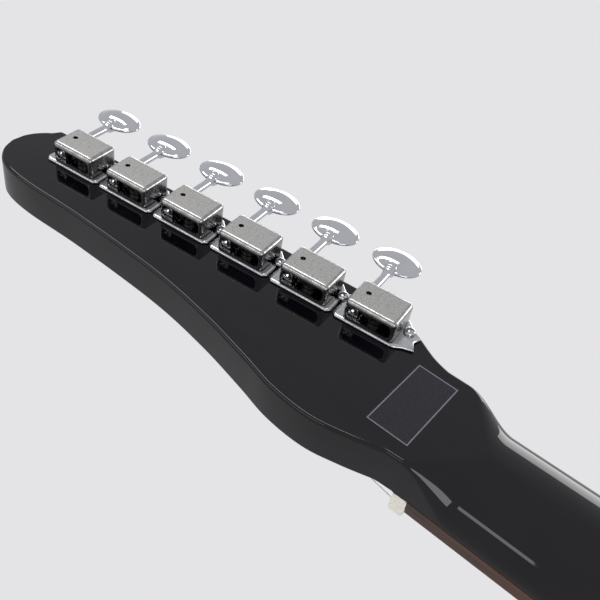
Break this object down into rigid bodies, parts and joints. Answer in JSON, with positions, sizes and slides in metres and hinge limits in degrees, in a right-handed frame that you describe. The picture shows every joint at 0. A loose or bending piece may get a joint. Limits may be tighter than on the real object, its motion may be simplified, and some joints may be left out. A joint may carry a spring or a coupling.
{
  "type": "baritone electric guitar",
  "caption": "Solid-body baritone electric guitar with a long bolt-on neck and an in-line headstock whose covered tuning machines turn by worm and wheel.",
  "frame": {"origin": "on the neck's centre line at the fingerboard end of the string nut, in the plane where the fingerboard is glued to the neck and which is also the headstock's face", "axes": "+Z along the neck towards the headstock's tip, -Y out of the strings and the body's front, +X towards the treble side"},
  "size_m": [0.324, 0.0664, 1.0683],
  "materials": {
    "gloss_black": "solid wood under black polyurethane lacquer, polished",
    "rosewood": "oiled rosewood with nickel silver frets",
    "bone": "polished off-white plastic",
    "chrome": "bright chrome plating",
    "satin_nickel": "pressed steel, satin nickel plated",
    "steel": "plain steel",
    "brass": "turned brass",
    "cream_plastic": "cream plastic sheet",
    "dark_plastic": "moulded black plastic"
  },
  "bodies": {
    "guitar": {"body": "gloss_black", "bridge_plate": "chrome", "fingerboard": "rosewood", "jack_socket": "chrome", "neck": "gloss_black", "neck_plate": "chrome", "pickguard": "cream_plastic", "pickup_bridge": "chrome", "pickup_neck": "chrome", "pot_tone": "steel", "pot_volume": "steel", "strap_button_end": "chrome", "strap_button_horn": "chrome", "string_1": "steel", "string_2": "steel", "string_3": "steel", "string_4": "steel", "string_5": "steel", "string_6": "steel", "string_nut": "bone", "string_tree": "chrome", "toggle_switch": "steel", "truss_rod": "steel", "tuner_1_bushing": "chrome", "tuner_1_cover": "satin_nickel", "tuner_1_plate": "chrome", "tuner_2_bushing": "chrome", "tuner_2_cover": "satin_nickel", "tuner_2_plate": "chrome", "tuner_3_bushing": "chrome", "tuner_3_cover": "satin_nickel", "tuner_3_plate": "chrome", "tuner_4_bushing": "chrome", "tuner_4_cover": "satin_nickel", "tuner_4_plate": "chrome", "tuner_5_bushing": "chrome", "tuner_5_cover": "satin_nickel", "tuner_5_plate": "chrome", "tuner_6_bushing": "chrome", "tuner_6_cover": "satin_nickel", "tuner_6_plate": "chrome"},
    "key_1": {"tuner_1_key": "chrome"},
    "post_1": {"tuner_1_post": "chrome"},
    "key_2": {"tuner_2_key": "chrome"},
    "post_2": {"tuner_2_post": "chrome"},
    "key_3": {"tuner_3_key": "chrome"},
    "post_3": {"tuner_3_post": "chrome"},
    "key_4": {"tuner_4_key": "chrome"},
    "post_4": {"tuner_4_post": "chrome"},
    "key_5": {"tuner_5_key": "chrome"},
    "post_5": {"tuner_5_post": "chrome"},
    "key_6": {"tuner_6_key": "chrome"},
    "post_6": {"tuner_6_post": "chrome"},
    "volume_knob": {"knob_volume": "dark_plastic"},
    "tone_knob": {"knob_tone": "dark_plastic"},
    "lever": {"toggle_lever": "bone"},
    "saddle_slider_1": {"saddle_1": "brass"},
    "saddle_slider_2": {"saddle_2": "brass"},
    "saddle_slider_3": {"saddle_3": "brass"},
    "truss_nut": {"truss_rod_nut": "brass"}
  },
  "joints": [
    {"name": "key_1_turn", "type": "hinge", "parent": "guitar", "child": "key_1", "pos_m": [-0.00491, 0.0197, 0.17604], "axis": [-0.9938, 0, 0.1115], "continuous": true},
    {"name": "post_1_turn", "type": "hinge", "parent": "guitar", "child": "post_1", "pos_m": [-0.00562, 0.0145, 0.16968], "axis": [0, 1, 0], "continuous": true},
    {"name": "key_2_turn", "type": "hinge", "parent": "guitar", "child": "key_2", "pos_m": [-0.00774, 0.0197, 0.1508], "axis": [-0.9938, 0, 0.1115], "continuous": true},
    {"name": "post_2_turn", "type": "hinge", "parent": "guitar", "child": "post_2", "pos_m": [-0.00845, 0.0145, 0.14444], "axis": [0, 1, 0], "continuous": true},
    {"name": "key_3_turn", "type": "hinge", "parent": "guitar", "child": "key_3", "pos_m": [-0.01057, 0.0197, 0.12556], "axis": [-0.9938, 0, 0.1115], "continuous": true},
    {"name": "post_3_turn", "type": "hinge", "parent": "guitar", "child": "post_3", "pos_m": [-0.01128, 0.0145, 0.1192], "axis": [0, 1, 0], "continuous": true},
    {"name": "key_4_turn", "type": "hinge", "parent": "guitar", "child": "key_4", "pos_m": [-0.0134, 0.0197, 0.10032], "axis": [-0.9938, 0, 0.1115], "continuous": true},
    {"name": "post_4_turn", "type": "hinge", "parent": "guitar", "child": "post_4", "pos_m": [-0.01411, 0.0145, 0.09396], "axis": [0, 1, 0], "continuous": true},
    {"name": "key_5_turn", "type": "hinge", "parent": "guitar", "child": "key_5", "pos_m": [-0.01623, 0.0197, 0.07508], "axis": [-0.9938, 0, 0.1115], "continuous": true},
    {"name": "post_5_turn", "type": "hinge", "parent": "guitar", "child": "post_5", "pos_m": [-0.01695, 0.0145, 0.06872], "axis": [0, 1, 0], "continuous": true},
    {"name": "key_6_turn", "type": "hinge", "parent": "guitar", "child": "key_6", "pos_m": [-0.01906, 0.0197, 0.04984], "axis": [-0.9938, 0, 0.1115], "continuous": true},
    {"name": "post_6_turn", "type": "hinge", "parent": "guitar", "child": "post_6", "pos_m": [-0.01978, 0.0145, 0.04348], "axis": [0, 1, 0], "continuous": true},
    {"name": "volume_turn", "type": "hinge", "parent": "guitar", "child": "volume_knob", "pos_m": [0.088, 0.0008, -0.706], "axis": [0, 1, 0], "range_deg": [-135, 135]},
    {"name": "tone_turn", "type": "hinge", "parent": "guitar", "child": "tone_knob", "pos_m": [0.104, 0.0008, -0.748], "axis": [0, 1, 0], "range_deg": [-135, 135]},
    {"name": "pickup_lever", "type": "hinge", "parent": "guitar", "child": "lever", "pos_m": [0.084, 0.0043, -0.632], "axis": [1, 0, 0], "range_deg": [-14, 14]},
    {"name": "saddle_1_intonation", "type": "slide", "parent": "guitar", "child": "saddle_slider_1", "axis": [0, 0, 1], "range_m": [-0.003, 0.003]},
    {"name": "saddle_2_intonation", "type": "slide", "parent": "guitar", "child": "saddle_slider_2", "axis": [0, 0, 1], "range_m": [-0.003, 0.003]},
    {"name": "saddle_3_intonation", "type": "slide", "parent": "guitar", "child": "saddle_slider_3", "axis": [0, 0, 1], "range_m": [-0.003, 0.003]},
    {"name": "truss_nut_turn", "type": "hinge", "parent": "guitar", "child": "truss_nut", "pos_m": [0, 0.0061, 0.0083], "axis": [0, 0, 1], "range_deg": [-90, 90]}
  ],
  "couplings": [
    {"joint": "post_1_turn", "follows": "key_1_turn", "ratio": 0.066667},
    {"joint": "post_2_turn", "follows": "key_2_turn", "ratio": 0.066667},
    {"joint": "post_3_turn", "follows": "key_3_turn", "ratio": 0.066667},
    {"joint": "post_4_turn", "follows": "key_4_turn", "ratio": 0.066667},
    {"joint": "post_5_turn", "follows": "key_5_turn", "ratio": 0.066667},
    {"joint": "post_6_turn", "follows": "key_6_turn", "ratio": 0.066667}
  ]
}
